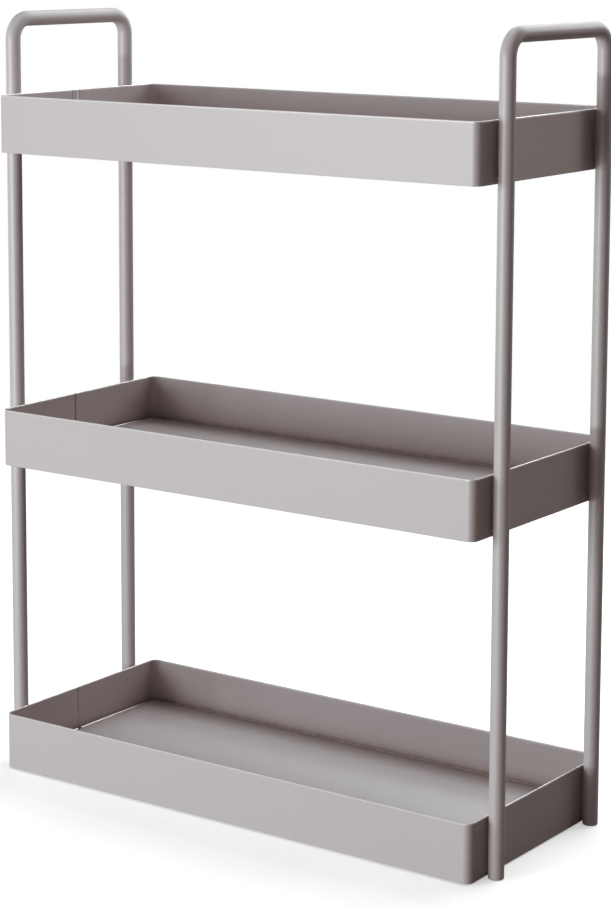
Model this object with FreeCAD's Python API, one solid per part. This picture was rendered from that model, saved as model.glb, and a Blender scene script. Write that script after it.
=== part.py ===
"""Three-tier shelf: two bent tube frames carry three open sheet metal trays.

Every piece is a separate solid in its own STEP file. Lengths are in millimetres.
X runs along the trays, Y from front to back and Z up. The origin is on the floor,
under the middle of the shelf.
"""
import FreeCAD, Part
import os
from math import asin, cos, degrees, radians, sin

Vector = FreeCAD.Vector
X_AXIS, Y_AXIS, Z_AXIS = Vector(1, 0, 0), Vector(0, 1, 0), Vector(0, 0, 1)

# Trays
tray_length = 600.0            # outside the band, along X
tray_depth = 260.0             # outside the band, along Y
tray_wall_height = 61.0        # height of the band
tray_corner_radius = 9.0       # outside bend radius of the band's upright corners
sheet_thickness = 1.2          # band sheet
rim_round = 0.35               # rounding of the band's upper and lower edges
tier_pitch = 340.0             # from one tray to the next
tier_names = ("lower", "middle", "upper")
sides = {"left": -1, "right": 1}
facings = {"front": -1, "rear": 1}

# Tray floors
floor_thickness = 1.0
floor_rise = 12.5              # top of the floor above the band's lower edge
floor_bend_radius = 2.4        # outside radius where the flanges turn down
flange_skirt_clearance = 2.0   # flange edge above the band's lower edge
flange_overhang = 12.8         # end flange beyond the leg's screw
bend_relief_width = 1.6        # saw cut that frees the end of each flange
floor_corner_clearance = 0.5   # plain floor corner to the band
seam_notch_width = 6.0         # cut in the floor edge at the band's seam
seam_notch_depth = 3.4

# Band seam on the left end wall
seam_offset = 9.0              # towards the front from the middle of the wall
seam_gap = 0.6                 # between the butted ends of the band
seam_weld_depth = 0.7          # weld root, from the outer face inwards
seam_bead_width = 2.8
seam_bead_height = 0.35
seam_bead_end_inset = 1.5      # bead ends short of the band's edges

# End frames
tube_diameter = 16.0
tube_wall = 1.2
tube_bend_radius = 22.0        # on the tube's centre line
leg_inset = 36.0               # leg axis behind the tray's front face
handle_rise = 87.5             # top of the tube above the upper tray's rim
foot_drop = 1.5                # feet below the lower tray

# Threaded inserts in the legs
insert_collar_diameter = 9.0
insert_collar_thickness = 1.0  # also the stand-off between tube and tray
insert_shank_diameter = 6.0
insert_shank_length = 9.0
insert_bulge_diameter = 7.6
insert_bulge_length = 2.4
insert_bulge_gap = 0.15        # bulge to the bore of the tube
insert_hole_clearance = 0.1    # radial, shank to tube

# Button head screws through floor flange and band into the inserts
screw_diameter = 4.0
screw_length = 12.0
screw_head_diameter = 7.6
screw_head_height = 2.2
screw_socket_width = 2.5       # across the flats
screw_socket_depth = 1.3
screw_tip_chamfer = 0.5
screw_hole_clearance = 0.25    # radial, screw to sheet
screw_thread_clearance = 0.1   # radial, screw to insert

# Foot plugs
plug_head_thickness = 2.6
plug_edge_round = 1.4
plug_stem_length = 16.0
plug_stem_wall = 1.6
plug_stem_clearance = 0.5      # radial, stem to tube
plug_rib_count = 4
plug_rib_height = 0.45         # rib above the stem, just short of the tube
plug_rib_thickness = 1.0
plug_slot_clearance = 0.5      # each side of the insert that the stem straddles

cut_overrun = 1.0              # how far every cutting tool passes the faces it cuts

# Places worked out from the sizes above
inner_length = tray_length - 2 * sheet_thickness
inner_depth = tray_depth - 2 * sheet_thickness
inner_corner_radius = tray_corner_radius - sheet_thickness
leg_x = tray_length / 2 + insert_collar_thickness + tube_diameter / 2
leg_y = tray_depth / 2 - leg_inset
tray_bases = [foot_drop + tier * tier_pitch for tier in range(len(tier_names))]
frame_top = tray_bases[-1] + tray_wall_height + handle_rise
screw_rise = (floor_rise - floor_thickness) / 2
end_flange_half = leg_y + flange_overhang
plain_corner = inner_depth / 2 - end_flange_half
side_flange_half = inner_length / 2 - plain_corner


def upright_edges(shape):
    """Edges of a shape that run straight along Z."""
    return [
        edge for edge in shape.Edges
        if abs(edge.tangentAt(edge.FirstParameter).z) > cos(radians(1))
    ]


def rounded_block(length, depth, radius, low, high):
    """Block centred on the Z axis with rounded upright corners."""
    block = Part.makeBox(length, depth, high - low, Vector(-length / 2, -depth / 2, low))
    return block.makeFillet(radius, upright_edges(block))


def cylinder_along(axis, radius, start, length):
    """Cylinder that begins at a point and runs along an axis."""
    return Part.makeCylinder(radius, length, start, axis)


def screw_places(side, base):
    """Where the screws of one end of a tray cross the outer face of its end wall."""
    return [
        Vector(side * tray_length / 2, facing * leg_y, base + screw_rise)
        for facing in facings.values()
    ]


def screw_holes(base):
    """Cutting tools that pass through the end walls and flanges of a tray at each screw."""
    radius = screw_diameter / 2 + screw_hole_clearance
    depth = sheet_thickness + floor_thickness + 2 * cut_overrun
    return [
        cylinder_along(X_AXIS * -side, radius, place + X_AXIS * (side * cut_overrun), depth)
        for side in sides.values()
        for place in screw_places(side, base)
    ]


def tray_band(base):
    """Strip of sheet bent into a rounded rectangle and butted at the left end."""
    top = base + tray_wall_height
    outside = rounded_block(tray_length, tray_depth, tray_corner_radius, base, top)
    inside = rounded_block(
        inner_length, inner_depth, inner_corner_radius, base - cut_overrun, top + cut_overrun
    )
    band = outside.cut(inside)
    rims = [
        edge for edge in band.Edges
        if edge.BoundBox.ZMin > top - rim_round or edge.BoundBox.ZMax < base + rim_round
    ]
    band = band.makeFillet(rim_round, rims)
    slit = Part.makeBox(
        sheet_thickness + 2 * cut_overrun,
        seam_gap,
        tray_wall_height + 2 * cut_overrun,
        Vector(-tray_length / 2 - cut_overrun, -seam_offset - seam_gap / 2, base - cut_overrun),
    )
    return band.cut([slit] + screw_holes(base))


def seam_weld(base):
    """Weld that joins the butted ends of the band from the outside."""
    low = base + seam_bead_end_inset
    height = tray_wall_height - 2 * seam_bead_end_inset
    wall_x = -tray_length / 2
    root = Part.makeBox(
        seam_weld_depth, seam_gap, height, Vector(wall_x, -seam_offset - seam_gap / 2, low)
    )
    half_width = seam_bead_width / 2
    crown = Part.Arc(
        Vector(wall_x, -seam_offset - half_width, low),
        Vector(wall_x - seam_bead_height, -seam_offset, low),
        Vector(wall_x, -seam_offset + half_width, low),
    ).toShape()
    chord = Part.makeLine(crown.Vertexes[1].Point, crown.Vertexes[0].Point)
    bead = Part.Face(Part.Wire([crown, chord])).extrude(Z_AXIS * height)
    return root.fuse(bead).removeSplitter()


def flange(half_span, top):
    """Turned-down flange along X whose outer face lies in the plane Y = 0."""
    bend = floor_bend_radius
    inner_bend = bend - floor_thickness
    low = top - floor_rise + flange_skirt_clearance
    bend_height = top - bend
    diagonal = sin(radians(45))

    def point(y, z):
        return Vector(-half_span, y, z)

    outer_arc = Part.Arc(
        point(-bend, top),
        point(-bend + bend * diagonal, bend_height + bend * diagonal),
        point(0, bend_height),
    )
    inner_arc = Part.Arc(
        point(-floor_thickness, bend_height),
        point(-bend + inner_bend * diagonal, bend_height + inner_bend * diagonal),
        point(-bend, top - floor_thickness),
    )
    edges = [
        outer_arc.toShape(),
        Part.makeLine(point(0, bend_height), point(0, low)),
        Part.makeLine(point(0, low), point(-floor_thickness, low)),
        Part.makeLine(point(-floor_thickness, low), point(-floor_thickness, bend_height)),
        inner_arc.toShape(),
        Part.makeLine(point(-bend, top - floor_thickness), point(-bend, top)),
    ]
    return Part.Face(Part.Wire(edges)).extrude(X_AXIS * (2 * half_span))


def tray_floor(base):
    """Sheet floor with four flanges welded to the band and plain rounded corners."""
    top = base + floor_rise
    plate = rounded_block(
        inner_length - 2 * floor_corner_clearance,
        inner_depth - 2 * floor_corner_clearance,
        inner_corner_radius - floor_corner_clearance,
        top - floor_thickness,
        top,
    )
    side_and_end = ((side_flange_half, inner_depth / 2), (end_flange_half, inner_length / 2))
    strips, flanges = [], []
    for quarter, (half_span, reach) in enumerate(side_and_end * 2):
        cut_half = half_span + bend_relief_width
        strip = Part.makeBox(
            2 * cut_half,
            floor_bend_radius + cut_overrun,
            floor_thickness + 2 * cut_overrun,
            Vector(-cut_half, reach - floor_bend_radius, top - floor_thickness - cut_overrun),
        )
        edge = flange(half_span, top)
        edge.translate(Y_AXIS * reach)
        for piece in (strip, edge):
            piece.rotate(Vector(), Z_AXIS, 90 * quarter)
        strips.append(strip)
        flanges.append(edge)
    pan = plate.cut(strips).fuse(flanges).removeSplitter()
    notch = Part.makeBox(
        seam_notch_depth + cut_overrun,
        seam_notch_width,
        floor_rise + 2 * cut_overrun,
        Vector(-inner_length / 2 - cut_overrun, -seam_offset - seam_notch_width / 2, base - cut_overrun),
    )
    return pan.cut([notch] + screw_holes(base))


def tube_section(radius, x):
    """Round outline of the tube at the foot of the front leg."""
    centre = Vector(x, -leg_y, plug_head_thickness)
    return Part.Wire([Part.Circle(centre, Z_AXIS, radius).toShape()])


def end_frame(side):
    """Tube bent into an upturned U, with a hole at each threaded insert."""
    x = side * leg_x
    bar_height = frame_top - tube_diameter / 2
    bend = tube_bend_radius
    diagonal = sin(radians(45))
    inset = bend - bend * diagonal
    shoulder = bar_height - bend

    def bend_arc(facing):
        return Part.Arc(
            Vector(x, facing * leg_y, shoulder),
            Vector(x, facing * (leg_y - inset), bar_height - inset),
            Vector(x, facing * (leg_y - bend), bar_height),
        ).toShape()

    path = Part.Wire([
        Part.makeLine(Vector(x, -leg_y, plug_head_thickness), Vector(x, -leg_y, shoulder)),
        bend_arc(-1),
        Part.makeLine(Vector(x, bend - leg_y, bar_height), Vector(x, leg_y - bend, bar_height)),
        bend_arc(1),
        Part.makeLine(Vector(x, leg_y, shoulder), Vector(x, leg_y, plug_head_thickness)),
    ])
    outside = path.makePipeShell([tube_section(tube_diameter / 2, x)], True, False)
    bore = path.makePipeShell([tube_section(tube_diameter / 2 - tube_wall, x)], True, False)
    hole_radius = insert_shank_diameter / 2 + insert_hole_clearance
    holes = [
        cylinder_along(X_AXIS * side, hole_radius, place, leg_x - tray_length / 2)
        for base in tray_bases
        for place in screw_places(side, base)
    ]
    return outside.cut([bore] + holes)


def foot_plug(side, facing):
    """Ribbed plug that closes a leg, its stem slotted towards the tray for the insert."""
    centre = Vector(side * leg_x, facing * leg_y, 0)
    head = cylinder_along(Z_AXIS, tube_diameter / 2, centre, plug_head_thickness)
    ground_edge = [edge for edge in head.Edges if edge.BoundBox.ZMax < plug_edge_round]
    head = head.makeFillet(plug_edge_round, ground_edge)
    stem_radius = tube_diameter / 2 - tube_wall - plug_stem_clearance
    stem_top = centre + Z_AXIS * (plug_head_thickness + plug_stem_length)
    stem = cylinder_along(Z_AXIS, stem_radius, centre + Z_AXIS * plug_head_thickness, plug_stem_length)
    ribs = [
        cylinder_along(
            Z_AXIS,
            stem_radius + plug_rib_height,
            stem_top - Z_AXIS * (plug_stem_length * (rib + 1) / (plug_rib_count + 1)),
            plug_rib_thickness,
        )
        for rib in range(plug_rib_count)
    ]
    hollow = cylinder_along(
        Z_AXIS,
        stem_radius - plug_stem_wall,
        centre + Z_AXIS * plug_head_thickness,
        plug_stem_length + cut_overrun,
    )
    slot_width = insert_bulge_diameter + 2 * plug_slot_clearance
    slot = Part.makeBox(
        tube_diameter / 2,
        slot_width,
        plug_stem_length + cut_overrun,
        Vector(0, -slot_width / 2, plug_head_thickness),
    )
    slot.rotate(Vector(), Z_AXIS, 90 + 90 * side)
    slot.translate(centre)
    return head.fuse([stem] + ribs).removeSplitter().cut([hollow, slot])


def bulge_start():
    """Distance from the collar's inner face at which the bulge clears the tube's bore."""
    bore_radius = tube_diameter / 2 - tube_wall
    reach = (bore_radius ** 2 - (insert_bulge_diameter / 2) ** 2) ** 0.5
    return tube_diameter / 2 - reach + insert_bulge_gap


def threaded_insert(side, place):
    """Riveted insert whose collar stands between the tray's end wall and the leg."""
    axis = X_AXIS * side
    shoulder = place + axis * insert_collar_thickness
    body = cylinder_along(axis, insert_collar_diameter / 2, place, insert_collar_thickness)
    shank = cylinder_along(axis, insert_shank_diameter / 2, shoulder, insert_shank_length)
    bulge = cylinder_along(
        axis, insert_bulge_diameter / 2, shoulder + axis * bulge_start(), insert_bulge_length
    )
    bore = cylinder_along(
        axis,
        screw_diameter / 2 + screw_thread_clearance,
        place - axis * cut_overrun,
        insert_collar_thickness + insert_shank_length + 2 * cut_overrun,
    )
    return body.fuse([shank, bulge]).removeSplitter().cut(bore)


def button_screw(side, place):
    """Button head screw that pulls flange and band against an insert."""
    axis = X_AXIS * side
    seat = place - axis * (sheet_thickness + floor_thickness)
    point = seat + axis * screw_length
    shank = cylinder_along(axis, screw_diameter / 2, seat, screw_length)
    tip = [edge for edge in shank.Edges if edge.CenterOfMass.distanceToPoint(point) < screw_tip_chamfer]
    shank = shank.makeChamfer(screw_tip_chamfer, tip)
    half_head = screw_head_diameter / 2
    dome_radius = (half_head ** 2 + screw_head_height ** 2) / (2 * screw_head_height)
    dome_depth = dome_radius - screw_head_height
    rim_latitude = degrees(asin(dome_depth / dome_radius))
    head = Part.makeSphere(dome_radius, seat + axis * dome_depth, axis * -1, rim_latitude, 90, 360)
    socket_base = seat - axis * (screw_head_height - screw_socket_depth)
    spoke = Y_AXIS * (screw_socket_width / 2 / cos(radians(30)))
    turns = [FreeCAD.Rotation(X_AXIS, 60 * turn) for turn in range(7)]
    corners = [socket_base + turn.multVec(spoke) for turn in turns]
    socket = Part.Face(Part.makePolygon(corners)).extrude(axis * -(screw_socket_depth + cut_overrun))
    return head.fuse(shank).removeSplitter().cut(socket)


def build():
    """Every node's name with its shape, where a group of fasteners is a compound."""
    nodes = {}
    for tier, base in zip(tier_names, tray_bases):
        nodes["tray_band_" + tier] = tray_band(base)
        nodes["seam_weld_" + tier] = seam_weld(base)
        nodes["tray_floor_" + tier] = tray_floor(base)
        nodes["tray_screws_" + tier] = Part.makeCompound([
            button_screw(side, place) for side in sides.values() for place in screw_places(side, base)
        ])
    for side_name, side in sides.items():
        nodes["end_frame_" + side_name] = end_frame(side)
        nodes["threaded_inserts_" + side_name] = Part.makeCompound([
            threaded_insert(side, place) for base in tray_bases for place in screw_places(side, base)
        ])
        for facing_name, facing in facings.items():
            nodes["foot_plug_" + facing_name + "_" + side_name] = foot_plug(side, facing)
    return nodes


os.makedirs("parts", exist_ok=True)
for name, shape in build().items():
    if not shape.isValid():
        raise ValueError(name + " is not a valid shape")
    shape.exportStep("parts/" + name + ".step")
    print(name, len(shape.Solids), "solids", round(shape.Volume, 1))
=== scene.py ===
"""Looks of the three-tier shelf: powder-coated tube frames, folded sheet trays and a plain studio.

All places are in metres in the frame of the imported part: X along the trays, Y from front to
back, Z up, with the origin on the floor under the middle of the shelf.
"""

import logging
from abc import ABC, abstractmethod
from collections.abc import Mapping
from dataclasses import dataclass
from enum import Enum

import bpy
import numpy as np
from bpy.types import Material, Node, NodeSocket, NodeTree, Object, ShaderNodeTree
from mathutils import Matrix, Vector


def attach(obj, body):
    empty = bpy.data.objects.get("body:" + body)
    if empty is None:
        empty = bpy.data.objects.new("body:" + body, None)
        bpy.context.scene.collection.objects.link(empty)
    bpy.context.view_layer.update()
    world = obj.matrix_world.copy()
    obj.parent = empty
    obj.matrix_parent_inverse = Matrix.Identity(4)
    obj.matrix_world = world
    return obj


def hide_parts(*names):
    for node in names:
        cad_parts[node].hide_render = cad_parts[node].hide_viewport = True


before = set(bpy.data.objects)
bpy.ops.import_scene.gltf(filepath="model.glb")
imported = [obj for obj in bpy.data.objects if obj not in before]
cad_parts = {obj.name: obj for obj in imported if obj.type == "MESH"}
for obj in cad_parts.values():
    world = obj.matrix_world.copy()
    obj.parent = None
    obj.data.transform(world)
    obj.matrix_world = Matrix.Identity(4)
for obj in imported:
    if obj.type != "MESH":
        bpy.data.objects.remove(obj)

LOG = logging.getLogger("shelf")
UP = np.array([0.0, 0.0, 1.0])
QUARTER = np.pi / 2
TOLERANCE = 1e-6
# Marks on the pieces: rubbed coat with painted highlight, and dark seams with painted shade.
MARKS = ("wear", "grime")
Array = np.ndarray
Triple = tuple[float, float, float]
Sockets = Mapping[str, NodeSocket]


class Place(Enum):
    """Part of the shelf whose name ends the names of its nodes."""

    @property
    def ending(self) -> str:
        """End of its nodes' names."""
        return "_" + self.name.lower()


class Side(Place):
    """End of the shelf, as the sign of its X."""

    LEFT = -1
    RIGHT = 1


class Tier(Place):
    """A tray, as its place counted from the floor."""

    LOWER = 0
    MIDDLE = 1
    UPPER = 2


@dataclass
class Skin:
    """Surface before it becomes a mesh: points, the outward direction at each, quads and marks."""

    points: Array
    outward: Array
    quads: Array
    # First mark: rubbed coat and painted highlight. Second mark: dark seam and painted shade.
    wear: Array | None = None
    grime: Array | None = None

    def __post_init__(self) -> None:
        """Give a surface with no given marks no rubbed coat, painted highlight, dark seam or
        painted shade.
        """
        for mark in MARKS:
            if getattr(self, mark) is None:
                setattr(self, mark, np.zeros(len(self.points)))

    def __add__(self, other: "Skin") -> "Skin":
        """Both surfaces in one."""
        return Skin(
            np.vstack((self.points, other.points)),
            np.vstack((self.outward, other.outward)),
            np.vstack((self.quads, other.quads + len(self.points))),
            *(np.concatenate((getattr(self, mark), getattr(other, mark))) for mark in MARKS),
        )

    def build(self, name: str) -> Object:
        """Make the mesh object.

        A quad is turned over where the cross product of its diagonals opposes the outward
        directions of its points. These directions become the mesh's own normals, so flat faces
        stay flat beside their rounded edges.

        Args:
            name: name of the piece.

        Returns:
            The object, linked to the scene, with its place in its mesh.
        """
        corners = self.points[self.quads]
        facing = np.cross(corners[:, 2] - corners[:, 0], corners[:, 3] - corners[:, 1])
        inward = np.einsum("ij,ij->i", facing, self.outward[self.quads].sum(axis=1)) < 0
        quads = np.where(inward[:, None], self.quads[:, ::-1], self.quads)
        mesh = bpy.data.meshes.new(name)
        mesh.vertices.add(len(self.points))
        mesh.vertices.foreach_set("co", self.points.astype(np.float32).ravel())
        mesh.loops.add(quads.size)
        mesh.loops.foreach_set("vertex_index", quads.astype(np.int32).ravel())
        mesh.polygons.add(len(quads))
        mesh.polygons.foreach_set("loop_start", np.arange(0, quads.size, 4, dtype=np.int32))
        mesh.update(calc_edges=True)
        mesh.validate()
        mesh.normals_split_custom_set_from_vertices(self.outward.astype(np.float32))
        for mark in MARKS:
            values = mesh.attributes.new(mark, "FLOAT", "POINT").data
            values.foreach_set("value", getattr(self, mark).astype(np.float32))
        piece = bpy.data.objects.new(name, mesh)
        bpy.context.scene.collection.objects.link(piece)
        return piece


def grid_skin(points: Array, outward: Array, closed: bool = False) -> Skin:
    """Join the points of a grid by quads.

    Each quad joins rows i and i + 1 with columns j and j + 1, and the last column joins the
    first where the grid is closed.

    Args:
        points: the points, in rows and columns.
        outward: outward direction at each.
        closed: whether each row runs back to its start.

    Returns:
        The surface, in which point (i, j) has the index i * columns + j.
    """
    rows, columns, _ = points.shape
    i = np.arange(rows - 1)[:, None]
    j = np.arange(columns if closed else columns - 1)[None, :]
    after = (j + 1) % columns
    row, above = i * columns, (i + 1) * columns
    corners = (row + j, above + j, above + after, row + after)
    quads = np.stack([corner.ravel() for corner in corners], axis=1)
    return Skin(points.reshape(-1, 3), outward.reshape(-1, 3), quads)


def carried(path: Array, across: Array, along: Array, profile: Array,
            profile_outward: Array) -> Skin:
    """Carry a closed profile along a path.

    Point (i, j) is path[i] + across[i] * profile[j, 0] + along[i] * profile[j, 1], and its
    outward direction is the same sum without the path, taken of the profile's own.

    Args:
        path: points of the path.
        across: unit direction of the profile's first axis at each point of the path.
        along: unit direction of the profile's second axis at each point of the path.
        profile: points of the profile in its plane.
        profile_outward: outward direction at each point of the profile.

    Returns:
        The surface, open at both ends of the path.
    """
    frames = np.stack((across, along), axis=1)
    points = path[:, None, :] + np.einsum("jk,ikc->ijc", profile, frames)
    outward = np.einsum("jk,ikc->ijc", profile_outward, frames)
    return grid_skin(points, outward, closed=True)


def arc_points(start: float, sweep: float, steps: int) -> Array:
    """Unit vectors from one angle over a sweep, both ends included, as rows of two."""
    angle = start + np.linspace(0, sweep, steps + 1)
    return np.stack((np.cos(angle), np.sin(angle)), axis=1)


def rounded_corners(reach: Array, radius: float, steps: int) -> tuple[Array, Array]:
    """Corners of a rounded rectangle about the origin.

    Each is a quarter circle about a point at the reach from the middle. They follow one another
    anticlockwise from the lower left one.

    Args:
        reach: distance from the middle to the corners' centres along both axes.
        radius: radius of the corners.
        steps: divisions of each corner.

    Returns:
        Points of the four corners and the outward direction at each.
    """
    signs = np.array([[-1, -1], [1, -1], [1, 1], [-1, 1]])
    turns = np.stack([arc_points(QUARTER * (k + 2), QUARTER, steps) for k in range(4)])
    return (signs * reach)[:, None, :] + radius * turns, turns


def rounded_bar(half_width: float, low: float, high: float, radius: float, steps: int,
                levels: Array) -> tuple[Array, Array]:
    """Outline of a sheet's cross-section with rounded edges.

    It runs anticlockwise from the upper edge of the outer face, and both faces have points at
    the given levels.

    Args:
        half_width: half the sheet's thickness.
        low: height of the lower edge.
        high: height of the upper edge.
        radius: rounding of the edges.
        steps: divisions of each quarter circle.
        levels: heights of the points between the edges, the highest first.

    Returns:
        Points of the outline and the outward direction at each.
    """
    reach = np.array([half_width, (high - low) / 2]) - radius
    corners, turns = rounded_corners(reach, radius, steps)
    corners = corners + [0, (low + high) / 2]
    face = np.stack((np.full_like(levels, half_width), levels), axis=1)
    flat = np.tile([1.0, 0.0], (len(levels), 1))
    points = np.vstack((*corners[2:], face * [-1.0, 1.0], *corners[:2], face[::-1]))
    return points, np.vstack((*turns[2:], -flat, *turns[:2], flat))


def end_caps(front: Array, rear: Array, middle: int) -> Skin:
    """Close the two ends of a sheet's profile that face each other across a gap.

    A quad joins each two neighbours on one face with the two that stand as far from the middle
    on the other face.

    Args:
        front: points of the profile in front of the gap.
        rear: points of the profile behind it.
        middle: index of the first point behind the profile's middle.

    Returns:
        The closing surfaces.
    """
    k = np.arange(len(front) // 2 - 1)
    corners = (middle + k, middle + k + 1, middle - 2 - k, middle - 1 - k)
    quads = np.stack(corners, axis=1) % len(front)
    back = np.tile([0.0, 1.0, 0.0], (len(front), 1))
    return Skin(front, back, quads) + Skin(rear, -back, quads)


def add_node(tree: NodeTree, kind: str, inputs: dict[str | int, object],
             **settings: object) -> Node:
    """Add a shader node to a tree.

    Args:
        tree: the tree.
        kind: the node's type, without the word ShaderNode.
        inputs: value of each input, or the socket to link to it.
        settings: the node's properties, which are set before its inputs.

    Returns:
        The node.
    """
    node = tree.nodes.new("ShaderNode" + kind)
    for name, value in settings.items():
        setattr(node, name, value)
    feed(node, inputs)
    return node


def feed(node: Node, inputs: dict[str | int, object]) -> None:
    """Set a node's inputs.

    Args:
        node: the node.
        inputs: value of each input, or the socket to link to it.
    """
    for name, value in inputs.items():
        if isinstance(value, NodeSocket):
            node.id_data.links.new(value, node.inputs[name])
        else:
            node.inputs[name].default_value = value


def maths(tree: NodeTree, operation: str, *values: object) -> NodeSocket:
    """Result of a sum on sockets and numbers."""
    return add_node(tree, "Math", dict(enumerate(values)), operation=operation).outputs[0]


def noise(tree: NodeTree, size: object, detail: float) -> NodeSocket:
    """Add noise over the object.

    Args:
        tree: the tree.
        size: size of its lumps in metres, or the socket that brings it.
        detail: how many finer layers it has.

    Returns:
        Socket of the noise, from 0 to 1.
    """
    place = add_node(tree, "TexCoord", {}).outputs["Object"]
    scale = maths(tree, "DIVIDE", 1.0, size)
    inputs = {"Vector": place, "Scale": scale, "Detail": detail}
    return add_node(tree, "TexNoise", inputs).outputs["Fac"]


def new_material(name: str) -> tuple[Material, Node]:
    """Make a material.

    Args:
        name: its name.

    Returns:
        The material and its Principled shader.
    """
    material = bpy.data.materials.new(name)
    material.use_nodes = True
    return material, material.node_tree.nodes["Principled BSDF"]


class ShaderGroup(ABC):
    """Shader node group that several materials share."""

    NAME: str
    COLOURS: tuple[str, ...]
    NUMBERS: tuple[str, ...]
    RESULTS: tuple[str, ...]

    @classmethod
    def group(cls) -> ShaderNodeTree:
        """Give the group, which is built at its first use.

        Returns:
            Node group with the colours and numbers as its inputs. Its outputs are Colour and the
            results.
        """
        tree = bpy.data.node_groups.get(cls.NAME)
        if tree:
            return tree
        tree = bpy.data.node_groups.new(cls.NAME, "ShaderNodeTree")
        sockets = (
            (cls.COLOURS, "INPUT", "NodeSocketColor"), (cls.NUMBERS, "INPUT", "NodeSocketFloat"),
            (("Colour",), "OUTPUT", "NodeSocketColor"), (cls.RESULTS, "OUTPUT", "NodeSocketFloat"),
        )
        for names, direction, kind in sockets:
            for name in names:
                tree.interface.new_socket(name, in_out=direction, socket_type=kind)
        results = cls.results(tree, tree.nodes.new("NodeGroupInput").outputs)
        feed(tree.nodes.new("NodeGroupOutput"), results)
        return tree

    @classmethod
    @abstractmethod
    def results(cls, tree: ShaderNodeTree, taken: Sockets) -> Sockets:
        """Add the group's nodes.

        Args:
            tree: the group.
            taken: sockets that bring its inputs, by name.

        Returns:
            The socket that goes to each output.
        """


class CoatGrain(ShaderGroup):
    """Surface that baked powder leaves on metal.

    The powder flows out into a shallow orange peel with a finer grain on top. Slow noise makes
    the colour and the gloss differ a little from place to place.
    """

    NAME = "coat_grain"
    COLOURS = ("Colour",)
    NUMBERS = ("Colour Spread", "Roughness", "Roughness Spread", "Peel Size", "Grain Size",
               "Grain Share", "Patch Size")
    RESULTS = ("Roughness", "Height")
    DETAILS = {"Patch Size": 2.0, "Peel Size": 1.0, "Grain Size": 2.0}
    GRAIN_GLOSS = 0.5

    @classmethod
    def results(cls, tree: ShaderNodeTree, taken: Sockets) -> Sockets:
        """Add three noises from -1 to 1, and their sums for colour, roughness and height.

        Args:
            tree: the group.
            taken: sockets that bring its inputs, by name.

        Returns:
            The socket that goes to each output.
        """
        patches, peel, grain = (
            maths(tree, "MULTIPLY_ADD", noise(tree, taken[size], detail), 2.0, -1.0)
            for size, detail in cls.DETAILS.items()
        )
        tone = maths(tree, "MULTIPLY_ADD", patches, taken["Colour Spread"], 1.0)
        shade = add_node(tree, "VectorMath", {0: taken["Colour"], "Scale": tone}, operation="SCALE")
        drift = maths(tree, "MULTIPLY_ADD", grain, cls.GRAIN_GLOSS, patches)
        rough = maths(tree, "MULTIPLY_ADD", drift, taken["Roughness Spread"], taken["Roughness"])
        height = maths(tree, "MULTIPLY_ADD", grain, taken["Grain Share"], peel)
        return {"Colour": shade.outputs[0], "Roughness": rough, "Height": height}


class AgedCoatWithPaintedLight(ShaderGroup):
    """Coat that turns pale and gleaming where marked, as rubbed coat and painted highlight, and
    dark, as dark seams and painted shade.
    """

    NAME = "aged_coat"
    COLOURS = ("Colour", "Bare Colour", "Grime Colour")
    NUMBERS = ("Wear", "Grime", "Roughness", "Bare Roughness", "Grime Roughness",
               "Bare Metallic", "Break Size")
    RESULTS = ("Roughness", "Metallic")
    DETAIL = 2.0
    BREAKS = {"From Min": 0.3, "From Max": 0.6, "To Min": 0.7, "To Max": 1.0}

    @classmethod
    def results(cls, tree: ShaderNodeTree, taken: Sockets) -> Sockets:
        """Add the nodes that mix three finishes by the marks, which noise breaks up: pale for
        painted highlight and rubbed coat, dark for painted shade and dark seams.

        Args:
            tree: the group.
            taken: sockets that bring its inputs, by name.

        Returns:
            The socket that goes to each output.
        """
        lumps = noise(tree, taken["Break Size"], cls.DETAIL)
        broken = add_node(tree, "MapRange", {"Value": lumps, **cls.BREAKS}).outputs["Result"]
        # Share of the pale finish (rubbed coat and painted highlight) and of the dark finish (dark
        # seam and painted shade).
        pale_mark, dark = (
            add_node(tree, "Math", {0: taken[mark.title()], 1: broken}, operation="MULTIPLY",
                     use_clamp=True).outputs[0]
            for mark in MARKS
        )
        given = {"Metallic": maths(tree, "MULTIPLY", pale_mark, taken["Bare Metallic"])}
        for quality, kind in (("Colour", "RGBA"), ("Roughness", "FLOAT")):
            given[quality] = taken[quality]
            for share, finish in ((pale_mark, "Bare "), (dark, "Grime ")):
                inputs = {"Factor": share, "A": given[quality], "B": taken[finish + quality]}
                given[quality] = add_node(tree, "Mix", inputs, data_type=kind).outputs["Result"]
        return given


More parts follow.
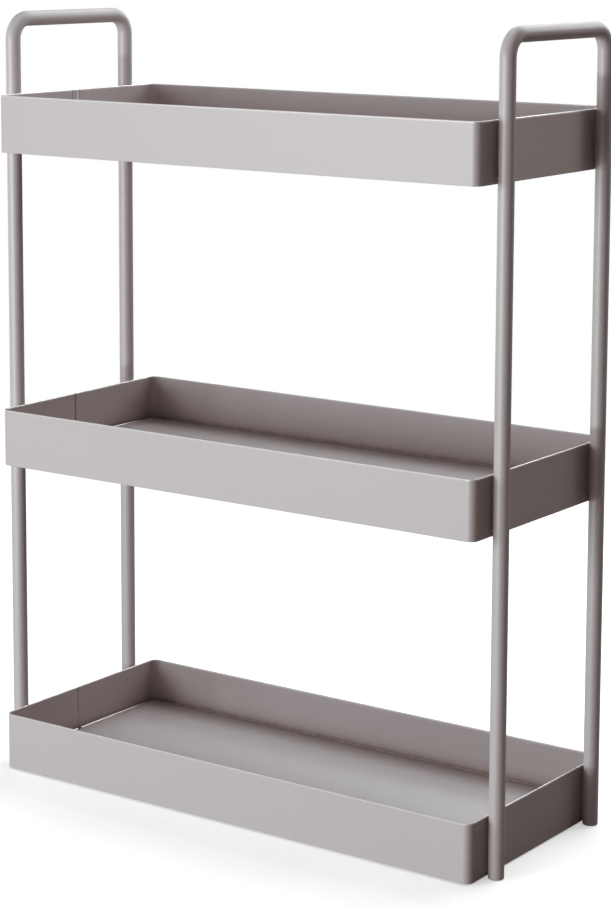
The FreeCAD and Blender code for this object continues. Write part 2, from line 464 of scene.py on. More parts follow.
@dataclass(frozen=True)
class PowderCoat:
    """Satin powder coat. Sizes are in metres."""

    name: str
    colour: Triple
    roughness: float = 0.42
    roughness_spread: float = 0.02
    colour_spread: float = 0.012
    peel_size: float = 0.0022
    peel_depth: float = 0.000012
    grain_size: float = 0.0005
    grain_share: float = 0.3
    patch_size: float = 0.06
    index: float = 1.5
    aged: bool = False
    # Pale gleaming finish for rubbed edges, also painted on as highlight.
    bare_colour: Triple = (0.9, 0.885, 0.875)
    bare_roughness: float = 0.32
    bare_metallic: float = 0.6
    # Dark finish for seams, also painted into creases and joints as shade.
    grime_colour: Triple = (0.15, 0.125, 0.118)
    grime_roughness: float = 0.75
    break_size: float = 0.006

    def material(self) -> Material:
        """Make the material.

        Returns:
            Material whose colour, roughness and bump come from the coat grain group. Where painted
            light is asked for, a second group changes them by the piece's marks: rubbed coat with
            painted highlight, dark seams with painted shade.
        """
        material, shader = new_material(self.name)
        tree = material.node_tree
        feed(shader, {"IOR": self.index, "Metallic": 0.0})
        grain = surface = add_node(tree, "Group", {
            "Colour": (*self.colour, 1.0),
            "Colour Spread": self.colour_spread,
            "Roughness": self.roughness,
            "Roughness Spread": self.roughness_spread,
            "Peel Size": self.peel_size,
            "Grain Size": self.grain_size,
            "Grain Share": self.grain_share,
            "Patch Size": self.patch_size,
        }, node_tree=CoatGrain.group())
        if self.aged:
            surface = add_node(tree, "Group", {
                "Colour": grain.outputs["Colour"],
                "Roughness": grain.outputs["Roughness"],
                "Bare Colour": (*self.bare_colour, 1.0),
                "Bare Roughness": self.bare_roughness,
                "Bare Metallic": self.bare_metallic,
                "Grime Colour": (*self.grime_colour, 1.0),
                "Grime Roughness": self.grime_roughness,
                "Break Size": self.break_size,
            }, node_tree=AgedCoatWithPaintedLight.group())
            # The piece's marks: painted highlight with rubbed coat, painted shade with dark seams.
            for mark in MARKS:
                marked = add_node(tree, "Attribute", {}, attribute_name=mark)
                feed(surface, {mark.title(): marked.outputs["Fac"]})
            feed(shader, {"Metallic": surface.outputs["Metallic"]})
        bump = add_node(tree, "Bump", {
            "Height": grain.outputs["Height"], "Strength": 1.0, "Distance": self.peel_depth,
        })
        feed(shader, {
            "Base Color": surface.outputs["Colour"],
            "Roughness": surface.outputs["Roughness"],
            "Normal": bump.outputs["Normal"],
        })
        return material


GREIGE = (0.452, 0.428, 0.435)
TRAY_COAT = PowderCoat("tray powder coat", GREIGE, aged=True)
# The band's powder coat, painted lighter and a little cooler to stand in for the light on the
# floors.
LIT_FLOOR_COAT = PowderCoat("tray floor powder coat", (0.556, 0.536, 0.545), aged=True)
FRAME_COAT = PowderCoat("frame powder coat", GREIGE)
PLUG_NYLON = PowderCoat("foot plug nylon", (0.43, 0.407, 0.414), roughness=0.5, peel_size=0.0012,
                        peel_depth=0.000006)


@dataclass(frozen=True)
class ZincPlate:
    """Bright zinc on small steel fasteners, clouded where the plating is thin."""

    name: str = "zinc plate"
    pale: Triple = (0.72, 0.73, 0.75)
    dull: Triple = (0.52, 0.53, 0.55)
    roughness: tuple[float, float] = (0.22, 0.42)
    cloud_size: float = 0.002
    cloud_detail: float = 3.0

    def material(self) -> Material:
        """Make the material.

        Returns:
            Metal whose colour and roughness drift with slow noise between pale and dull.
        """
        material, shader = new_material(self.name)
        tree = material.node_tree
        cloud = noise(tree, self.cloud_size, self.cloud_detail)
        tones = {"Factor": cloud, "A": (*self.pale, 1.0), "B": (*self.dull, 1.0)}
        tint = add_node(tree, "Mix", tones, data_type="RGBA")
        smooth, rough = self.roughness
        gloss = add_node(tree, "MapRange", {"Value": cloud, "To Min": smooth, "To Max": rough})
        feed(shader, {
            "Metallic": 1.0,
            "Base Color": tint.outputs["Result"],
            "Roughness": gloss.outputs["Result"],
        })
        return material


def dress(piece: Object, material: Material) -> None:
    """Give every material slot of a piece one material.

    Args:
        piece: new piece or node of the part.
        material: its finish.
    """
    if not piece.material_slots:
        piece.data.materials.append(material)
    for place in piece.material_slots:
        place.material = material


def stand_in(piece: Object, node: str) -> Object:
    """Show a new piece in place of a node of the part.

    Args:
        piece: the new piece.
        node: the node that it stands for.

    Returns:
        The piece.
    """
    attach(piece, "root")
    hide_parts(node)
    return piece


@dataclass(frozen=True)
class Ridge:
    """Upright ridge behind a band's seam, where the weld's heat has drawn the sheet.

    Its height falls from the crest as a bell curve does. Over its whole width it is painted
    pale and gleaming as a highlight, and a line of painted shade lies behind it, at the given
    multiple of its width.
    """

    height: float = 0.0
    wear: float = 0.0
    grime: float = 0.0
    crest: float = -0.0007
    width: float = 0.0022
    line: float = 1.5
    line_width: float = 0.0007
    reach: float = 2.4
    steps: int = 32

    def places(self) -> Array:
        """Y of the path's points on the ridge, from its back to its front."""
        return self.crest + np.linspace(self.reach, -self.reach, self.steps + 1) * self.width

    def add_to(self, skin: Skin, inner: Array) -> None:
        """Raise the ridge on a band, and paint its highlight and the shade behind it.

        Args:
            skin: the band's surface.
            inner: the inner face's share at each point of the wall with the seam.
        """
        from_crest = (skin.points[:, 1] - self.crest) / self.width
        from_line = (from_crest - self.line) * self.width / self.line_width
        # Painted highlight over the ridge, painted shade in a line behind it.
        skin.wear = np.maximum(skin.wear, self.wear * inner * np.exp(-from_crest ** 4))
        skin.grime = np.maximum(skin.grime, self.grime * inner * np.exp(-from_line ** 2))
        bell = inner * np.exp(-from_crest ** 2)
        skin.points[:, 0] += self.height * bell
        skin.outward[:, 1] += 2 * from_crest / self.width * self.height * bell
        skin.outward /= np.linalg.norm(skin.outward, axis=1, keepdims=True)


@dataclass
class Tray:
    """One tray: a folded band with its seam weld, a flanged floor and four screws."""

    tier: Tier
    length: float = 0.6
    depth: float = 0.26
    wall_height: float = 0.061
    floor_rise: float = 0.0125
    sheet: float = 0.0012
    corner_radius: float = 0.009
    rim_round: float = 0.00058
    rim_steps: int = 6
    rim_fade: tuple[float, ...] = (0.0004, 0.0009, 0.0016)
    # Share of the rim's pale gleaming mark on the long walls (rubbed coat and painted highlight),
    # then places, depth and foot of the painted shade along the floor joint.
    long_wear: float = 0.25
    grime_rise: tuple[float, ...] = (0.016, 0.009, 0.005, 0.0025, 0.001, 0.0, -0.0015)
    grime_depth: float = 0.004
    grime_foot: float = -0.001
    foot_drop: float = 0.0015
    pitch: float = 0.34
    seam_offset: float = 0.009
    seam_gap: float = 0.0006
    seam_grime: float = 0.35
    seam_reach: float = 0.0006
    seam_places: tuple[float, ...] = (0.0, 0.7, 2.0, 4.5)
    bead_width: float = 0.0028
    bead_height: float = 0.00035
    bead_inset: float = 0.0015
    ripple_pitch: float = 0.0011
    ripple_share: float = 0.22
    ripple_bow: float = 0.45
    ridge: Ridge = Ridge()

    @property
    def base(self) -> float:
        """Height of the band's lower edge."""
        return self.foot_drop + self.tier.value * self.pitch

    @property
    def joint(self) -> float:
        """Height of the floor's top."""
        return self.base + self.floor_rise

    @property
    def shoulder(self) -> float:
        """Height at which the rim's rounding starts."""
        return self.base + self.wall_height - self.rim_round

    def outline(self, steps: int = 20) -> tuple[Array, Array]:
        """Plan of the middle of the sheet, from one side of the seam round to the other.

        The path starts in front of the seam on the left end wall and ends behind it, with close
        points beside the seam and on the ridge. Straight runs join the corners.

        Args:
            steps: divisions of each corner.

        Returns:
            Points of the path and the outward direction at each.
        """
        reach = np.array([self.length, self.depth]) / 2 - self.corner_radius
        corners, turns = rounded_corners(reach, self.corner_radius - self.sheet / 2, steps)
        beside = self.seam_gap / 2 + self.seam_reach * np.array(self.seam_places)
        behind = np.sort(np.concatenate((self.ridge.places(), beside - self.seam_offset)))[::-1]
        y = np.concatenate((-self.seam_offset - beside, behind))
        left = np.stack((np.full_like(y, self.sheet / 2 - self.length / 2), y), axis=1)
        out = np.tile([-1, 0], (len(y), 1))
        near = len(beside)
        path = np.vstack((left[:near], corners.reshape(-1, 2), left[near:]))
        return path, np.vstack((out[:near], turns.reshape(-1, 2), out[near:]))

    def age(self, skin: Skin, inner: Array, on_ends: Array) -> None:
        """Paint the band's marks.

        The rim is painted pale and gleaming, partly as rubbed coat and partly as a painted
        highlight: fully on the end walls, slightly on the long ones. Below the rounding it falls
        evenly to nothing. On the inner face a painted shade dies away as the exponential of the
        height above the floor, and the seam's dark line as the exponential of the distance from
        the seam.

        Args:
            skin: the band's surface.
            inner: the inner face's share at each point.
            on_ends: the end walls' share at each point.
        """
        height = skin.points[:, 2]
        # Rim painted pale and gleaming: rubbed coat and painted highlight.
        marked = self.long_wear + (1 - self.long_wear) * on_ends
        skin.wear = marked * np.clip(1 - (self.shoulder - height) / self.rim_fade[-1], 0, 1)
        # Painted shade on the inner face along the joint with the floor, darker towards the floor.
        above = height - self.joint
        fall = np.exp(-np.clip(above, 0, None) / self.grime_depth)
        skin.grime = inner * (above > self.grime_foot) * fall
        from_seam = np.abs(skin.points[:, 1] + self.seam_offset) - self.seam_gap / 2
        fall = np.exp(-np.clip(from_seam, 0, None) / self.seam_reach)
        inner = inner * (skin.points[:, 0] < 0)
        skin.grime = np.maximum(skin.grime, inner * self.seam_grime * fall)
        self.ridge.add_to(skin, inner)

    def band(self) -> Object:
        """Make the band.

        The sheet's rounded cross-section is carried round the plan outline, and each butted end
        is closed by quads between the points at equal heights on its two faces.

        Returns:
            The band's piece.
        """
        path, facing = self.outline()
        level = np.zeros((len(path), 1))
        levels = (self.shoulder - np.array(self.rim_fade), self.joint + np.array(self.grime_rise))
        profile, profile_outward = rounded_bar(
            self.sheet / 2, self.base, self.base + self.wall_height, self.rim_round,
            self.rim_steps, np.concatenate(levels),
        )
        skin = carried(
            np.hstack((path, level)), np.hstack((facing, level)), np.tile(UP, (len(path), 1)),
            profile, profile_outward,
        )
        count = len(profile)
        inner = np.clip(-np.tile(profile_outward[:, 0], len(path)), 0, 1)
        self.age(skin, inner, np.repeat(np.abs(facing[:, 0]), count))
        skin = skin + end_caps(skin.points[:count], skin.points[-count:], self.rim_steps + 1)
        piece = skin.build("band" + self.tier.ending)
        return stand_in(piece, "tray_band" + self.tier.ending)

    def weld_bead(self, rows: int = 260, columns: int = 24) -> Object:
        """Make the weld bead on the outside of the seam.

        Across the bead, v runs from -1 to 1 and the height is bead_height * (1 - v * v). Along
        it, the height swells and sinks by the ripple share with the cosine of the distance
        climbed plus a part of v squared, which bends each ripple into a crescent. At both ends
        the height falls to nothing as a quarter circle.

        Args:
            rows: points along the bead.
            columns: points across it.

        Returns:
            The bead's piece.
        """
        climb = np.linspace(0, self.wall_height - 2 * self.bead_inset, rows)[:, None]
        v = np.linspace(-1, 1, columns)[None, :]
        phase = 2 * np.pi * (climb / self.ripple_pitch + self.ripple_bow * v * v)
        ripple = 1 - self.ripple_share * (0.5 + 0.5 * np.cos(phase))
        end = np.clip(np.minimum(climb, climb[::-1]) / self.bead_width, 0, 1)
        height = self.bead_height * (1 - v * v) * np.sqrt(1 - (1 - end) ** 2) * ripple
        x = -self.length / 2 - height
        y = -self.seam_offset + v * self.bead_width / 2 + 0 * climb
        z = self.base + self.bead_inset + climb + 0 * v
        slope_y = np.gradient(x, axis=1) / np.gradient(y, axis=1)
        slope_z = np.gradient(x, axis=0) / np.gradient(z, axis=0)
        outward = np.stack((-np.ones_like(x), slope_y, slope_z), axis=-1)
        outward /= np.linalg.norm(outward, axis=-1, keepdims=True)
        skin = grid_skin(np.stack((x, y, z), axis=-1), outward)
        piece = skin.build("seam_bead" + self.tier.ending)
        return stand_in(piece, "seam_weld" + self.tier.ending)

    def build(self, coat: Material, floor_coat: Material, zinc: Material) -> list[Object]:
        """Make and dress the tray.

        Args:
            coat: finish of the band and its weld.
            floor_coat: finish of the floor, painted lighter and cooler than the band's as painted
                light.
            zinc: finish of the screws.

        Returns:
            The tray's pieces.
        """
        band, bead = self.band(), self.weld_bead()
        floor = FloorPan(self.tier, self.joint).build(floor_coat)
        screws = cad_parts["tray_screws" + self.tier.ending]
        dress(band, coat)
        dress(bead, coat)
        dress(screws, zinc)
        return [band, bead, floor, screws]


@dataclass
class FloorPan:
    """Floor of a tray: a sheet with a low bead round its edge and flanges down inside the band.

    Across the edge, u runs inwards from the outer face of the flange, and heights count from
    the top of the floor.
    """

    tier: Tier
    top: float
    length: float = 0.5975
    depth: float = 0.2575
    sheet: float = 0.001
    corner_radius: float = 0.0078
    edge_width: float = 0.0034
    bend: float = 0.0013
    bend_steps: int = 8
    bead_slope: float = 0.0013
    bead_steps: int = 9
    bead_height: float = 0.0009
    bead_fade: float = 0.03
    fade_steps: int = 8
    inner_bend: float = 0.001
    skirt: float = 0.0105
    edge_round: float = 0.0002
    edge_steps: int = 2
    notch: tuple[float, float] = (-0.012, -0.006)
    # Painted highlight on the bead's crest and painted shade by the floor's edge.
    wear_gain: float = 1.2
    long_wear: float = 0.4
    crest_grime: float = 0.6
    foot_grime: tuple[float, float] = (0.25, 0.8)
    grime_reach: float = 0.007

    @property
    def half(self) -> Array:
        """Half the length and half the depth."""
        return np.array([self.length, self.depth]) / 2

    @property
    def reach(self) -> Array:
        """Distance from the middle to the corners' centres."""
        return self.half - self.corner_radius

    def runs(self) -> tuple[Array, Array]:
        """Places of the points on the straight sides.

        Returns:
            X of those along the length, and Y of those along the depth.
        """
        fade = np.linspace(0, self.bead_fade, self.fade_steps + 1)[1:]
        along_x = np.concatenate((fade - self.reach[0], (self.reach[0] - fade)[::-1]))
        along_y = np.concatenate((fade - self.reach[1], self.notch, (self.reach[1] - fade)[::-1]))
        return along_x, along_y

    def outline(self, steps: int = 10) -> tuple[Array, Array, Array]:
        """Plan of the flange's outer face, from one side of the notch round to the other.

        Each straight side leads to a corner, but for the last one, which ends behind the notch.
        The bead's share is a smooth step of the distance from the nearest corner over the fading
        length, so the bead dies out before each corner.

        Args:
            steps: divisions of each corner.

        Returns:
            Points of the path, the outward direction and the bead's share at each.
        """
        along_x, along_y = self.runs()
        split = int(np.searchsorted(along_y, self.notch[0])) + 1
        corners, turns = rounded_corners(self.reach, self.corner_radius, steps)

        sides = (
            (along_y[:split][::-1], 0, -1), (along_x, 1, -1), (along_y, 0, 1),
            (along_x[::-1], 1, 1), (along_y[split:][::-1], 0, -1),
        )
        path, facing = [], []
        for k, (places, axis, sign) in enumerate(sides):
            out = np.zeros((len(places), 2))
            out[:, axis] = sign
            points = out * self.half
            points[:, 1 - axis] = places
            path += [points, *corners[k:k + 1]]
            facing += [out, *turns[k:k + 1]]
        path, facing = np.vstack(path), np.vstack(facing)
        clear = np.clip((self.reach - np.abs(path)).max(axis=1) / self.bead_fade, 0, 1)
        return path, facing, clear ** 2 * (3 - 2 * clear)

    def section(self) -> tuple[Array, Array, Array, Array]:
        """Cross-section of the edge, from the top of the floor over the flange to its underside.

        The bead rises as half a cosine wave and falls with the bend, which is a quarter circle.
        The flange's lower edge is rounded. The inner bend is a quarter circle too, with as many
        points as the bead and the outer bend have, so both sides of the sheet match.

        Returns:
            Points (distance out, height) with no bead, and at each point the bead's share of
            its height, the bend's share of its turn, and a share that falls from one at the
            bead's foot to nothing at its crest.
        """
        rise = np.linspace(np.pi, 0, self.bead_steps + 1)
        turn = np.linspace(0, QUARTER, self.bend_steps + 1)[1:]
        lip = np.linspace(0, QUARTER, self.edge_steps + 1)
        heel = np.linspace(0, QUARTER, len(rise) + len(turn))
        low, small, inner = -self.skirt, self.edge_round, self.inner_bend
        u = np.concatenate((
            [self.edge_width], self.bend + self.bead_slope * rise / np.pi,
            self.bend * (1 - np.sin(turn)),
            small * (1 - np.cos(lip)), self.sheet - small * (1 - np.sin(lip)),
            self.sheet + inner * (1 - np.cos(heel)), [self.edge_width],
        ))
        height = np.concatenate((
            [0.0], 0 * rise,
            -self.bend * (1 - np.cos(turn)),
            low + small * (1 - np.sin(lip)), low + small * (1 - np.cos(lip)),
            -self.sheet - inner * (1 - np.sin(heel)), [-self.sheet],
        ))
        share, bent, foot = np.zeros((3, len(u)))
        crest, end = 1 + len(rise), 1 + len(rise) + len(turn)
        share[1:end] = np.concatenate((0.5 + 0.5 * np.cos(rise), np.cos(turn)))
        bent[crest:end] = turn / QUARTER
        foot[:crest] = np.concatenate(([1.0], rise / np.pi))
        return np.stack((-u, height), axis=1), share, bent, foot

    def edge(self) -> tuple[Skin, Array]:
        """Make the edge strip.

        Point (i, j) is the outline's point i, moved along its outward direction and up by the
        section's point j, with the bead's height times both shares added. The outward direction
        is square to the section's slope. The bead's crest is painted pale and gleaming as a
        highlight: along both ends, and along the long sides ever more from left to right. Painted
        shade fills the bend, gathers at the bead's foot and covers the crest where no highlight
        is painted.

        Returns:
            The strip and its points as a grid.
        """
        path, facing, clear = self.outline()
        section, share, bent, foot = self.section()
        bead = clear[:, None] * share
        level = np.zeros((len(path), 1))
        out = section[:, 0] + level
        height = section[:, 1] + self.bead_height * bead
        slope = np.stack((-np.gradient(height, axis=1), np.gradient(out, axis=1)), axis=-1)
        slope /= np.linalg.norm(slope, axis=-1, keepdims=True)
        aside = np.hstack((facing, level))[:, None, :]
        start = np.hstack((path, level + self.top))[:, None, :]
        points = start + aside * out[..., None] + UP * height[..., None]
        outward = aside * slope[..., :1] + UP * slope[..., 1:]
        ends = np.abs(facing[:, :1])
        # Crest painted pale and gleaming as a highlight, more towards the right along the long
        # sides.
        marked = ends + (1 - ends) * self.long_wear * (0.5 + path[:, :1] / self.length)
        wear = marked * np.clip(self.wear_gain * bead, 0, 1)
        # Painted shade at the bead's foot, in the bend and on the crest where no highlight is
        # painted.
        grime = (self.foot_grime[0] * ends + self.foot_grime[1] * (1 - ends)) * foot
        grime = np.clip(grime + bent + self.crest_grime * (1 - marked) * share, 0, 1)
        skin = grid_skin(points, outward)
        skin.wear, skin.grime = wear.ravel(), grime.ravel()
        return skin, points

    def panel(self, ring: Array, direction: float) -> Skin:
        """Make the flat inside the edge strip, on the top or on the underside.

        Its columns stand at the strip's places along the front, and its rows at the strip's
        places along the ends, drawn together towards both ends as the corners round off. On the
        top a painted shade dies away as the exponential of the distance from the strip, darker
        along the long sides than along the ends.

        Args:
            ring: the strip's points on this side of the sheet.
            direction: 1 for the top and -1 for the underside.

        Returns:
            The flat surface.
        """
        front = ring[ring[:, 1] < TOLERANCE - self.reach[1]]
        rows = np.concatenate(([-1.0], self.runs()[1] / self.reach[1], [1.0]))[:, None]
        x = front[:, 0] + 0 * rows
        y = -front[:, 1] * rows
        points = np.stack((x, y, 0 * x + ring[0, 2]), axis=-1)
        inset = self.half - self.edge_width - np.abs(points[..., :2])
        # Painted shade on the top near the edges.
        grime = (self.foot_grime * np.exp(-inset / self.grime_reach)).max(axis=-1)
        skin = grid_skin(points, 0 * points + UP * direction)
        skin.grime = (direction > 0) * grime.ravel()
        return skin

    def build(self, coat: Material) -> Object:
        """Make and dress the floor.

        Args:
            coat: its finish.

        Returns:
            The floor's piece.
        """
        skin, points = self.edge()
        gap = np.stack((points[0, 0], points[-1, 0], points[-1, -1], points[0, -1]))
        skin = (
            skin + end_caps(points[0], points[-1], points.shape[1] // 2)
            + Skin(gap, np.tile([-1.0, 0.0, 0.0], (4, 1)), np.arange(4)[None, :])
            + self.panel(points[:, 0], 1.0) + self.panel(points[:, -1], -1.0)
        )
        piece = skin.build("floor_pan" + self.tier.ending)
        dress(piece, coat)
        return stand_in(piece, "tray_floor" + self.tier.ending)


@dataclass
class EndFrame:
    """One end of the shelf: a tube bent into an upturned U, with its inserts and foot plugs."""

    side: Side
    axis_x: float = 0.309
    leg_y: float = 0.094
    radius: float = 0.008
    bend_radius: float = 0.022
    foot: float = 0.0026
    top: float = 0.83
    foot_round: float = 0.0004
    foot_steps: int = 4
    foot_bore: float = 0.8

    def centre_line(self, steps: int = 28) -> tuple[Array, Array]:
        """Centre line of the tube, up the front leg, across the handle and down the rear leg.

        Each bend is a quarter circle about a point that lies the bend's radius inside the leg
        and under the handle, and the straight runs join them.

        Args:
            steps: divisions of each bend.

        Returns:
            Points of the line and the direction across it, away from the middle of the loop.
        """
        shoulder = self.top - self.radius - self.bend_radius
        front = arc_points(np.pi, -QUARTER, steps)
        rear = arc_points(QUARTER, -QUARTER, steps)
        inset = self.leg_y - self.bend_radius
        flat = np.vstack((
            [[-self.leg_y, self.foot]],
            front * self.bend_radius + [-inset, shoulder],
            rear * self.bend_radius + [inset, shoulder],
            [[self.leg_y, self.foot]],
        ))
        away = np.vstack(([[-1, 0]], front, rear, [[1, 0]]))
        x = np.full((len(flat), 1), self.side.value * self.axis_x)
        return np.hstack((x, flat)), np.hstack((0 * x, away))

    def cut_end(self, point: Array, ring: Array) -> Skin:
        """Make the rounded end of a leg.

        The last few rings shrink by a quarter circle, and a flat ring leads from them to the
        foot plug.

        Args:
            point: end of the leg's centre line.
            ring: directions out of the tube all round.

        Returns:
            The end's surface.
        """
        lean = np.linspace(0, QUARTER, self.foot_steps + 1)[:, None, None]
        shrink = self.radius - self.foot_round * (1 - np.cos(lean))
        points = point + ring * shrink - UP * self.foot_round * (np.sin(lean) - 1)
        outward = ring * np.cos(lean) - UP * np.sin(lean)
        bore = point + ring * (self.radius * self.foot_bore) + 0 * lean[:1]
        points = np.concatenate((points, bore))
        return grid_skin(points, np.concatenate((outward, 0 * bore - UP)), closed=True)

    def tube(self, around: int = 72) -> Object:
        """Make the tube: a circle carried along the centre line, with both ends rounded.

        Args:
            around: points in each ring.

        Returns:
            The tube's piece.
        """
        line, away = self.centre_line()
        circle = arc_points(0, 2 * np.pi, around)[:-1]
        across = np.tile([1.0, 0.0, 0.0], (len(line), 1))
        skin = carried(line, away, across, circle * self.radius, circle)
        for end in (0, -1):
            ring = circle[:, :1] * away[end] + circle[:, 1:] * across[end]
            skin = skin + self.cut_end(line[end], ring)
        piece = skin.build("tube" + self.side.ending)
        return stand_in(piece, "end_frame" + self.side.ending)

    def build(self, coat: Material, nylon: Material, zinc: Material) -> list[Object]:
        """Make and dress the frame.

        Args:
            coat: finish of the tube.
            nylon: finish of the foot plugs.
            zinc: finish of the threaded inserts.

        Returns:
            The frame's pieces.
        """
        tube = self.tube()
        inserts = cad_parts["threaded_inserts" + self.side.ending]
        names = ["foot_plug_" + leg + self.side.ending for leg in ("front", "rear")]
        plugs = [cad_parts[name] for name in names]
        dress(tube, coat)
        dress(inserts, zinc)
        for plug in plugs:
            dress(plug, nylon)
        return [tube, inserts, *plugs]


@dataclass(frozen=True)
class Softbox:
    """Rectangular studio light, aimed at a point. Sizes are in metres and power in watts."""

    name: str
    place: Triple
    width: float
    height: float
    power: float
    target: Triple = (0, 0, 0.4)

    def build(self) -> None:
        """Make the light, which the camera itself doesn't see."""
        lamp = bpy.data.lights.new(self.name, "AREA")
        lamp.shape = "RECTANGLE"
        lamp.size, lamp.size_y = self.width, self.height
        lamp.energy = self.power
        light = bpy.data.objects.new(self.name, lamp)
        light.location = self.place
        aim = Vector(self.target) - Vector(self.place)
        light.rotation_euler = aim.to_track_quat("-Z", "Y").to_euler()
        light.visible_camera = False
        bpy.context.scene.collection.objects.link(light)


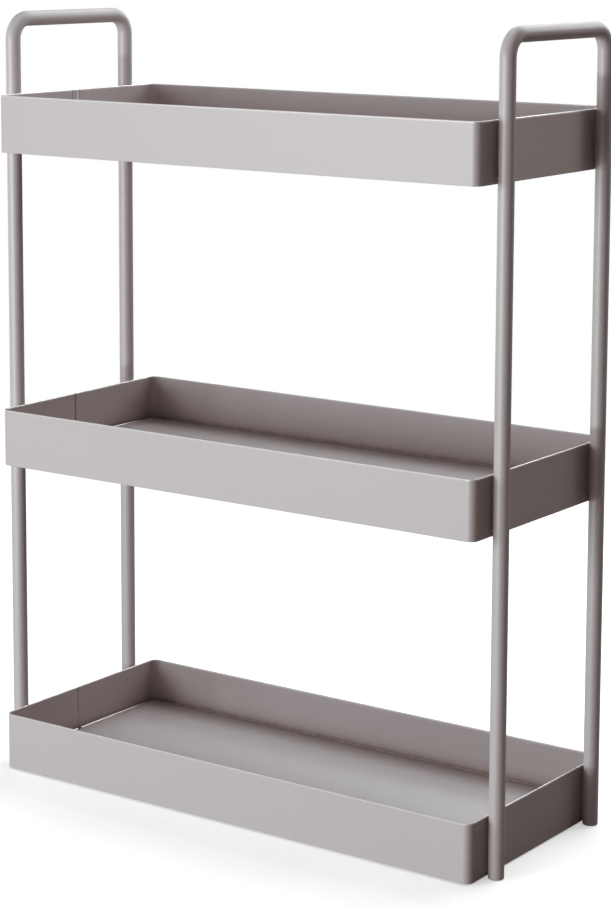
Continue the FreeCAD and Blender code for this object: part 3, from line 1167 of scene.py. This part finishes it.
@dataclass
class Studio:
    """Pale floor, soft light and the camera at the photograph's angle."""

    floor_radius: float = 4.0
    floor_rings: int = 24
    floor_around: int = 96
    floor_fade: tuple[float, float] = (1.1, 2.6)
    floor_colour: Triple = (0.88, 0.88, 0.88)
    floor_bounce: Triple = (0.2, 0.2, 0.2)
    floor_roughness: float = 0.8
    floor_lift: float = 0.48
    ambient: Triple = (0.01, 0.01, 0.01)
    backdrop: Triple = (1.0, 1.0, 1.0)
    tones: tuple[float, ...] = (0.04, 0.09, 0.14, 0.2, 0.27, 0.36, 0.5)
    green_share: tuple[float, ...] = (0.78, 0.83, 0.86, 0.895, 0.94, 0.985, 1.0)
    blue_share: tuple[float, ...] = (0.7, 0.775, 0.815, 0.875, 0.93, 0.985, 1.0)
    lights: tuple[Softbox, ...] = (
        Softbox("ground strip", (-0.3, -4.45, 0.06), 2.4, 0.12, 98.7, (0, 0, 0.06)),
        Softbox("key right", (-0.4, -2.4, 0.8), 0.7, 0.9, 7.6),
        Softbox("key middle", (-0.95, -2.35, 0.8), 0.7, 0.9, 21.9),
        Softbox("key left", (-1.5, -2.2, 0.8), 0.7, 0.9, 7.4),
        Softbox("left side", (-2.5, 0.3, 0.9), 1.8, 1.8, 11.7),
        Softbox("overhead", (0, 0, 2.4), 0.8, 0.5, 8.8),
        Softbox("right overhead", (1.2, 0.1, 2.5), 1.2, 0.6, 5.4),
        Softbox("rear overhead", (0, 1.3, 2.1), 2.4, 1.0, 23.0),
        Softbox("backdrop", (-0.5, 2.5, 1.4), 2.4, 0.6, 7.3),
        Softbox("high backdrop", (0, 2.5, 2.2), 3.0, 1.2, 20.5, (0, 0, 0.5)),
        Softbox("right high backdrop", (1.2, 2.4, 1.6), 1.6, 0.6, 13.4, (0.2, 0, 0.7)),
        Softbox("right low backdrop", (2.2, 2.6, 0.5), 1.6, 0.8, 6.3),
    )
    camera_place: Triple = (1.5300, -2.1361, 0.9204)
    camera_yaw: float = -0.6182
    camera_pitch: float = 0.1408
    camera_roll: float = 0.0038
    focal_pixels: float = 2532.1
    frame_height: float = 909.0
    shift: float = -0.185
    far_end: float = 100.0

    def floor_material(self) -> Material:
        """Make the floor's material.

        It fades to nothing towards the rim, where the pale background takes over. It gives the
        shelf less light than its own paleness would, as a large sweep with dark surroundings
        does.

        Returns:
            The material.
        """
        material, shader = new_material("pale floor")
        tree = material.node_tree
        seen = add_node(tree, "LightPath", {}).outputs["Is Camera Ray"]
        tones = {"A": (*self.floor_bounce, 1.0), "B": (*self.floor_colour, 1.0)}
        tone = add_node(tree, "Mix", {"Factor": seen, **tones}, data_type="RGBA")
        place = add_node(tree, "TexCoord", {}).outputs["Object"]
        length = add_node(tree, "VectorMath", {0: place}, operation="LENGTH").outputs["Value"]
        start, end = self.floor_fade
        span = {"From Min": start, "From Max": end, "To Min": 1.0, "To Max": 0.0}
        fade = add_node(tree, "MapRange", {"Value": length, **span},
                        interpolation_type="SMOOTHERSTEP")
        feed(shader, {
            "Base Color": tone.outputs["Result"],
            "Roughness": self.floor_roughness,
            "Emission Color": (1.0, 1.0, 1.0, 1.0),
            "Emission Strength": maths(tree, "MULTIPLY", seen, self.floor_lift),
            "Alpha": fade.outputs["Result"],
        })
        return material

    def floor(self) -> None:
        """Make the floor, a disc whose rings are circles about the origin, as stage."""
        circle = arc_points(0, 2 * np.pi, self.floor_around)[:-1]
        circle = np.hstack((circle, 0 * circle[:, :1]))
        spread = np.linspace(0, self.floor_radius, self.floor_rings)[:, None, None]
        points = spread * circle
        floor = grid_skin(points, 0 * points + UP, closed=True).build("floor")
        dress(floor, self.floor_material())

    def surroundings(self) -> None:
        """Make the background: pale where the camera looks past the floor, dim as a light."""
        world = bpy.data.worlds.new("studio surroundings")
        bpy.context.scene.world = world
        world.use_nodes = True
        tree = world.node_tree
        pale = tree.nodes["Background"]
        feed(pale, {"Color": (*self.backdrop, 1.0)})
        dim = add_node(tree, "Background", {"Color": (*self.ambient, 1.0)})
        seen = add_node(tree, "LightPath", {}).outputs["Is Camera Ray"]
        choice = add_node(tree, "MixShader", {0: seen, 1: dim.outputs[0], 2: pale.outputs[0]})
        feed(tree.nodes["World Output"], {"Surface": choice.outputs[0]})

    def camera(self) -> None:
        """Make the scene's camera.

        From looking along Y it turns by the yaw towards X, by the pitch down and by the roll
        about its line of sight. The lens is the focal length in pixels times the sensor's long
        side over the frame's.
        """
        data = bpy.data.cameras.new("camera")
        data.sensor_width = 36.0
        data.lens = self.focal_pixels * data.sensor_width / self.frame_height
        data.shift_y = self.shift
        data.clip_end = self.far_end
        camera = bpy.data.objects.new("camera", data)
        camera.matrix_world = (
            Matrix.Translation(self.camera_place)
            @ Matrix.Rotation(-self.camera_yaw, 4, "Z")
            @ Matrix.Rotation(QUARTER - self.camera_pitch, 4, "X")
            @ Matrix.Rotation(self.camera_roll, 4, "Z")
        )
        bpy.context.scene.collection.objects.link(camera)
        bpy.context.scene.camera = camera

    def grade(self) -> None:
        """Set the picture's colours, with shadows warmer than its lights, as in the photograph.

        Green and blue keep the given share of their value at each tone, and all of it above the
        last tone.
        """
        view = bpy.context.scene.view_settings
        view.view_transform = "Standard"
        view.use_curve_mapping = True
        _, green, blue, _ = view.curve_mapping.curves
        for curve, shares in ((green, self.green_share), (blue, self.blue_share)):
            for tone, share in zip(self.tones, shares):
                curve.points.new(tone, tone * share)
        view.curve_mapping.update()

    def build(self) -> None:
        """Make the floor, the background, the lights and the camera, and grade the picture."""
        self.floor()
        self.surroundings()
        for light in self.lights:
            light.build()
        self.camera()
        self.grade()


def main() -> None:
    logging.basicConfig(level=logging.INFO, format="%(name)s: %(message)s")
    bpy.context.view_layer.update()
    tray_coat, floor_coat = TRAY_COAT.material(), LIT_FLOOR_COAT.material()
    frame_coat, nylon, zinc = FRAME_COAT.material(), PLUG_NYLON.material(), ZincPlate().material()
    trays = (
        Tray(Tier.LOWER),
        Tray(Tier.MIDDLE, seam_grime=1.0, seam_reach=0.0008),
        # The upper tray's seam ridge, with its painted highlight and the painted shade behind it.
        Tray(Tier.UPPER, seam_grime=0.2, ridge=Ridge(height=0.0007, wear=0.6, grime=1.0)),
    )
    for tray in trays:
        for piece in tray.build(tray_coat, floor_coat, zinc):
            LOG.info("%s: %d faces", piece.name, len(piece.data.polygons))
    for side in Side:
        for piece in EndFrame(side).build(frame_coat, nylon, zinc):
            LOG.info("%s: %d faces", piece.name, len(piece.data.polygons))
    Studio().build()


if __name__ == "__main__":
    main()
